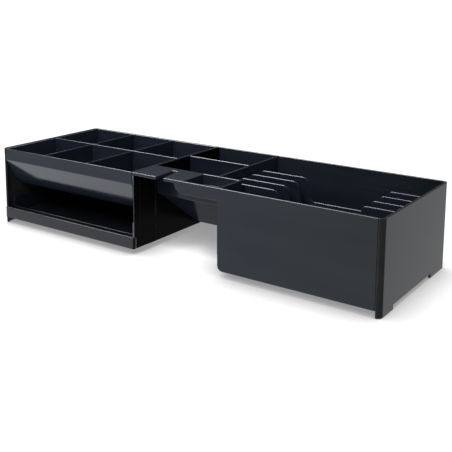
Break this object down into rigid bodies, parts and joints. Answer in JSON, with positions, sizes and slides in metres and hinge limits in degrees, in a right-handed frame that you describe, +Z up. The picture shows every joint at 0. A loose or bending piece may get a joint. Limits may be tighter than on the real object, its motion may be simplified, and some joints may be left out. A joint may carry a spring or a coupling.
{
  "type": "drawer organizer insert",
  "caption": "Long open insert for a flip-lid cash drawer: scooped coin cups at the left, a bridge with compartments, and a deep note bay with lift-out dividers at the right.",
  "frame": {"origin": "middle of the base rectangle, on the plane that the feet stand on", "axes": "+X along the length towards the note bay, +Y towards the rear wall (the open front is at -Y), +Z up"},
  "size_m": [0.445, 0.146, 0.083],
  "materials": {
    "tray_body": "satin black injection moulding",
    "coin_body": "satin black injection moulding",
    "end_plate": "satin black injection moulding",
    "front_bar": "satin black injection moulding",
    "storage_body": "black injection moulding",
    "divider": "glossy black plate with polished edges"
  },
  "bodies": {
    "frame": {"main_tray": "tray_body", "left_end_plate": "end_plate", "right_end_plate": "end_plate", "coin_side_plate": "end_plate", "front_bar": "front_bar", "storage_tray": "storage_body"},
    "coin_tray": {"coin_tray": "coin_body"},
    "coin_divider_front_left": {"coin_divider_front_left": "divider"},
    "coin_divider_front_right": {"coin_divider_front_right": "divider"},
    "coin_divider_rear_left": {"coin_divider_rear_left": "divider"},
    "coin_divider_rear_right": {"coin_divider_rear_right": "divider"},
    "bridge_divider": {"bridge_divider": "divider"},
    "note_divider_1": {"note_divider_1": "divider"},
    "note_divider_2": {"note_divider_2": "divider"},
    "note_divider_3": {"note_divider_3": "divider"},
    "note_divider_4": {"note_divider_4": "divider"}
  },
  "joints": [
    {"name": "coin_tray_lift", "type": "slide", "parent": "frame", "child": "coin_tray", "axis": [0, 0, 1], "range_m": [0, 0.055]},
    {"name": "coin_divider_front_left_lift", "type": "slide", "parent": "coin_tray", "child": "coin_divider_front_left", "axis": [0, 0, 1], "range_m": [0, 0.05]},
    {"name": "coin_divider_front_right_lift", "type": "slide", "parent": "coin_tray", "child": "coin_divider_front_right", "axis": [0, 0, 1], "range_m": [0, 0.05]},
    {"name": "coin_divider_rear_left_lift", "type": "slide", "parent": "coin_tray", "child": "coin_divider_rear_left", "axis": [0, 0, 1], "range_m": [0, 0.05]},
    {"name": "coin_divider_rear_right_lift", "type": "slide", "parent": "coin_tray", "child": "coin_divider_rear_right", "axis": [0, 0, 1], "range_m": [0, 0.05]},
    {"name": "bridge_divider_lift", "type": "slide", "parent": "frame", "child": "bridge_divider", "axis": [0, 0, 1], "range_m": [0, 0.068]},
    {"name": "note_divider_1_lift", "type": "slide", "parent": "frame", "child": "note_divider_1", "axis": [0, 0, 1], "range_m": [0, 0.08]},
    {"name": "note_divider_2_lift", "type": "slide", "parent": "frame", "child": "note_divider_2", "axis": [0, 0, 1], "range_m": [0, 0.08]},
    {"name": "note_divider_3_lift", "type": "slide", "parent": "frame", "child": "note_divider_3", "axis": [0, 0, 1], "range_m": [0, 0.08]},
    {"name": "note_divider_4_lift", "type": "slide", "parent": "frame", "child": "note_divider_4", "axis": [0, 0, 1], "range_m": [0, 0.08]}
  ]
}
